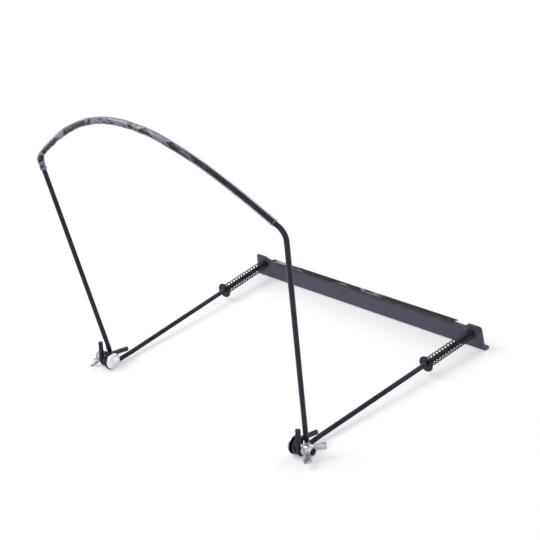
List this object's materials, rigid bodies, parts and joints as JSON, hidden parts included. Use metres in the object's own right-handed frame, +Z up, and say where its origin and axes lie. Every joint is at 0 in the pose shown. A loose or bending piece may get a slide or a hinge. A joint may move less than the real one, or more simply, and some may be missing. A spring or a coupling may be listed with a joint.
{
  "type": "harmonica holder",
  "caption": "Neck-worn harmonica holder: bent-wire yoke with a clear tube over its arch, hinged wire arms with wing nuts, and a sprung plate clamp.",
  "frame": {"origin": "centre of the holder's box, at the surface it rests on", "axes": "+X along the hinge axis, +Y from the hinges to the clamp, +Z up, through the neck arch"},
  "size_m": [0.275, 0.234, 0.2484],
  "materials": {
    "black_painted_steel": "satin",
    "black_spring_steel": "satin",
    "zinc_plated_steel": "bright zinc",
    "chromed_steel": "polished",
    "clear_pvc": "clear gloss"
  },
  "bodies": {
    "arms": {"left_arm_rod": "black_painted_steel", "right_arm_rod": "black_painted_steel", "left_bolt": "chromed_steel", "right_bolt": "chromed_steel", "left_inner_washer": "black_painted_steel", "right_inner_washer": "black_painted_steel", "left_outer_washer": "zinc_plated_steel", "right_outer_washer": "zinc_plated_steel", "left_stop_disc": "black_painted_steel", "right_stop_disc": "black_painted_steel", "left_spring": "black_spring_steel", "right_spring": "black_spring_steel", "fixed_clamp_plate": "black_painted_steel"},
    "yoke": {"yoke_rod": "black_painted_steel", "neck_sleeve": "clear_pvc"},
    "moving_clamp": {"moving_clamp_plate": "black_painted_steel", "edge_sleeve": "clear_pvc"},
    "left_nut": {"left_wing_nut": "zinc_plated_steel"},
    "right_nut": {"right_wing_nut": "zinc_plated_steel"}
  },
  "joints": [
    {"name": "yoke_fold", "type": "hinge", "parent": "arms", "child": "yoke", "pos_m": [0, -0.08595, 0.0075], "axis": [1, 0, 0], "range_deg": [-86, 90]},
    {"name": "clamp_slide", "type": "slide", "parent": "arms", "child": "moving_clamp", "axis": [0, -0.9983, -0.0586], "range_m": [0, 0.03], "stiffness_N_per_m": 2450, "springref_m": -0.006, "deforming": ["left_spring", "right_spring"]},
    {"name": "left_nut_turn", "type": "hinge", "parent": "arms", "child": "left_nut", "pos_m": [-0.12, -0.08595, 0.0075], "axis": [-1, 0, 0], "range_deg": [0, 360]},
    {"name": "right_nut_turn", "type": "hinge", "parent": "arms", "child": "right_nut", "pos_m": [0.12, -0.08595, 0.0075], "axis": [1, 0, 0], "range_deg": [0, 360]}
  ]
}
